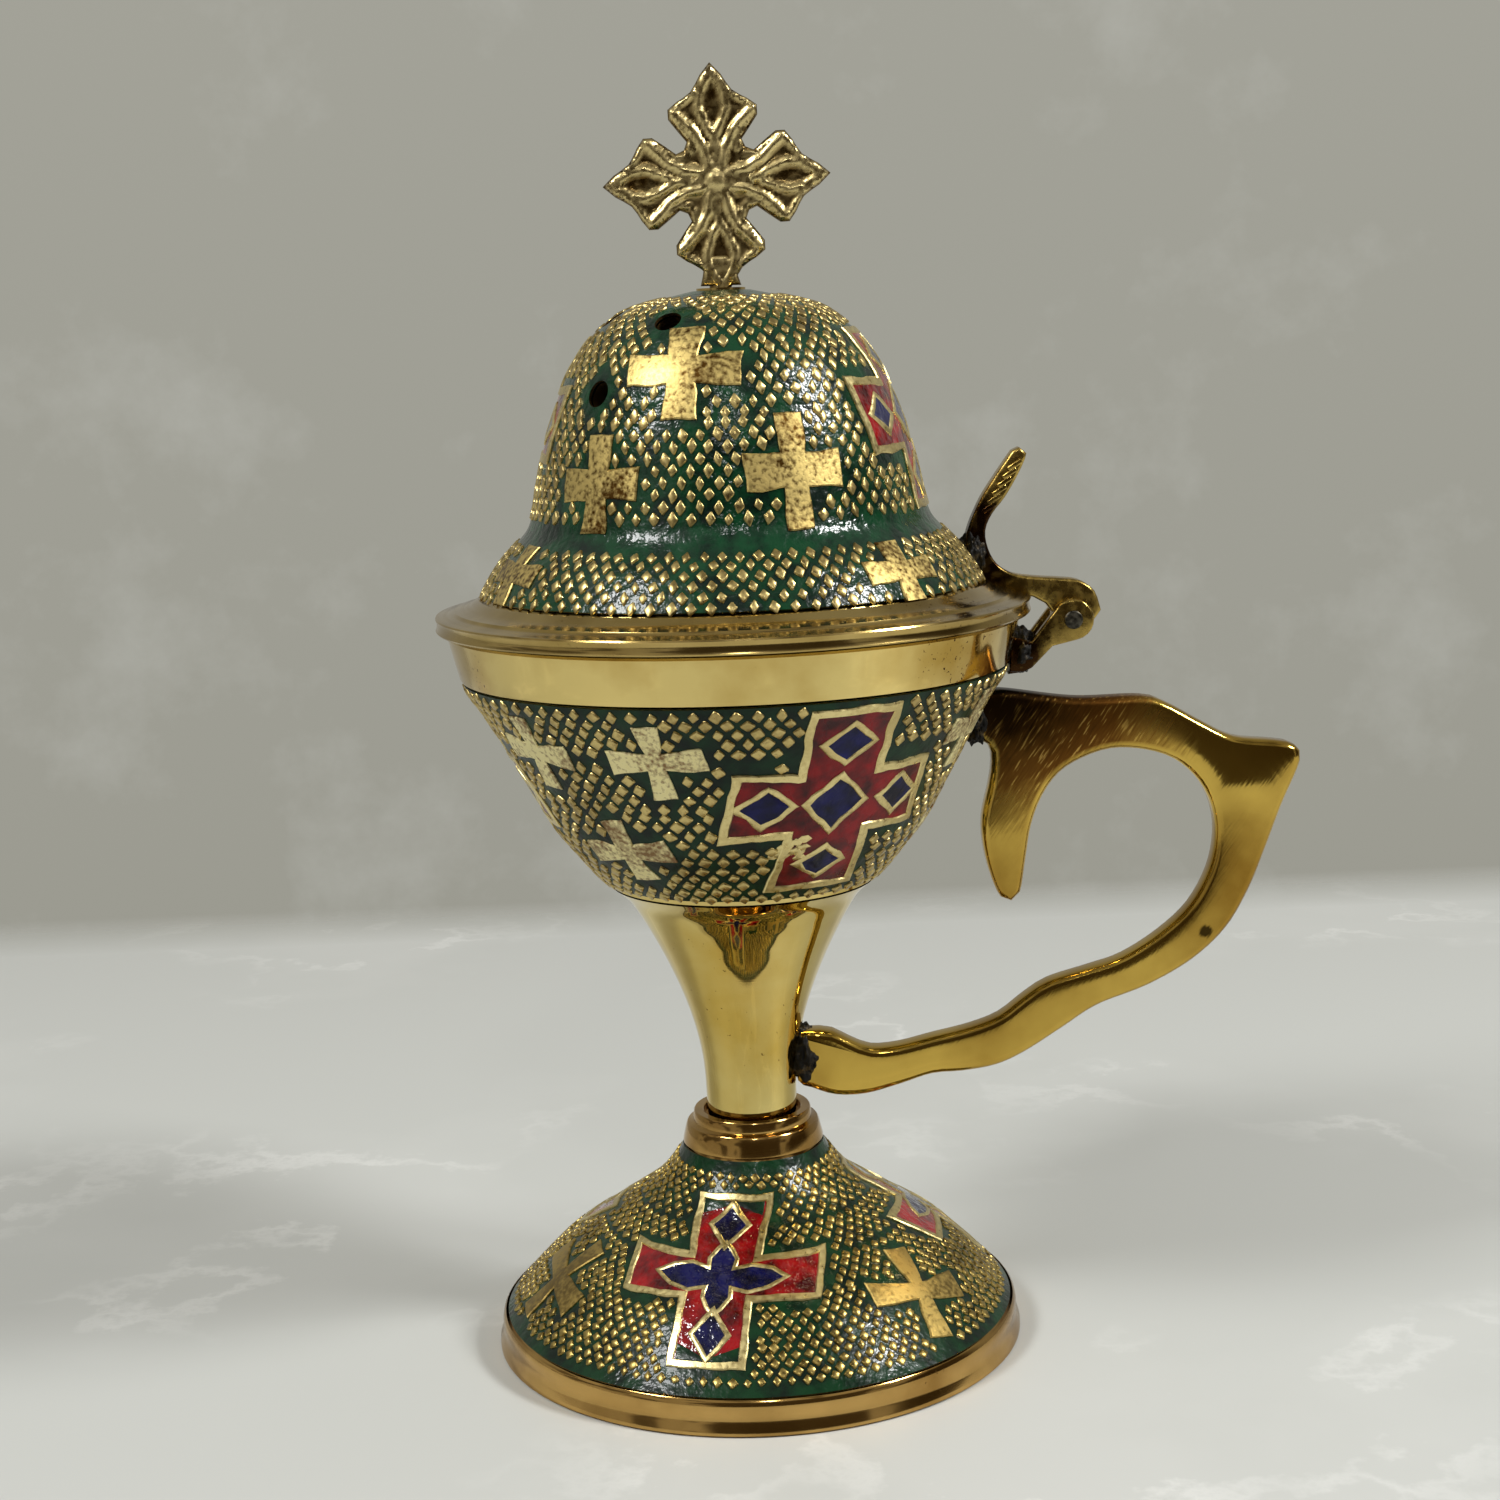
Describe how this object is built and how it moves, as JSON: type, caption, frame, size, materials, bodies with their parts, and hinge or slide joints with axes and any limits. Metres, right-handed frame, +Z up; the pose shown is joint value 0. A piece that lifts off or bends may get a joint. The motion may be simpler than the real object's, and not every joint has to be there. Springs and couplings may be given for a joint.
{
  "type": "enamelled hand censer",
  "caption": "Footed brass hand censer with a bell-shaped hinged lid, thumb lever, finger handle, cross finial and enamelled fields.",
  "frame": {"origin": "middle of the bounding box at the table, 17.35 mm towards the handle from the axis of the turned pieces", "axes": "+Z up along the turned pieces' axis, +X from that axis towards the handle, the hinge axis is along +Y"},
  "size_m": [0.1107, 0.076, 0.1649],
  "materials": {
    "polished_brass": "turned and polished",
    "cast_brass": "cast, filed, tarnished in the hollows",
    "steel": "plain, dulled",
    "green_enamel": "fired glossy vitreous enamel, opaque",
    "black_solder": "rough, blackened by flux"
  },
  "bodies": {
    "cup": {"foot": "polished_brass", "foot_enamel": "green_enamel", "stem": "polished_brass", "bowl": "polished_brass", "bowl_enamel": "green_enamel", "tie_rod": "steel", "foot_washer": "steel", "foot_nut": "steel", "handle": "polished_brass", "handle_upper_solder": "black_solder", "handle_lower_solder": "black_solder", "hinge_bracket": "cast_brass", "hinge_pin": "steel", "bracket_solder": "black_solder"},
    "cover": {"lid": "polished_brass", "lid_enamel": "green_enamel", "lid_arm": "cast_brass", "lid_arm_solder": "black_solder", "finial_cross": "cast_brass", "finial_nut": "steel"}
  },
  "joints": [
    {"name": "lid_hinge", "type": "hinge", "parent": "cup", "child": "cover", "pos_m": [0.02595, 0, 0.0943], "axis": [0, 1, 0], "range_deg": [0, 110]}
  ]
}
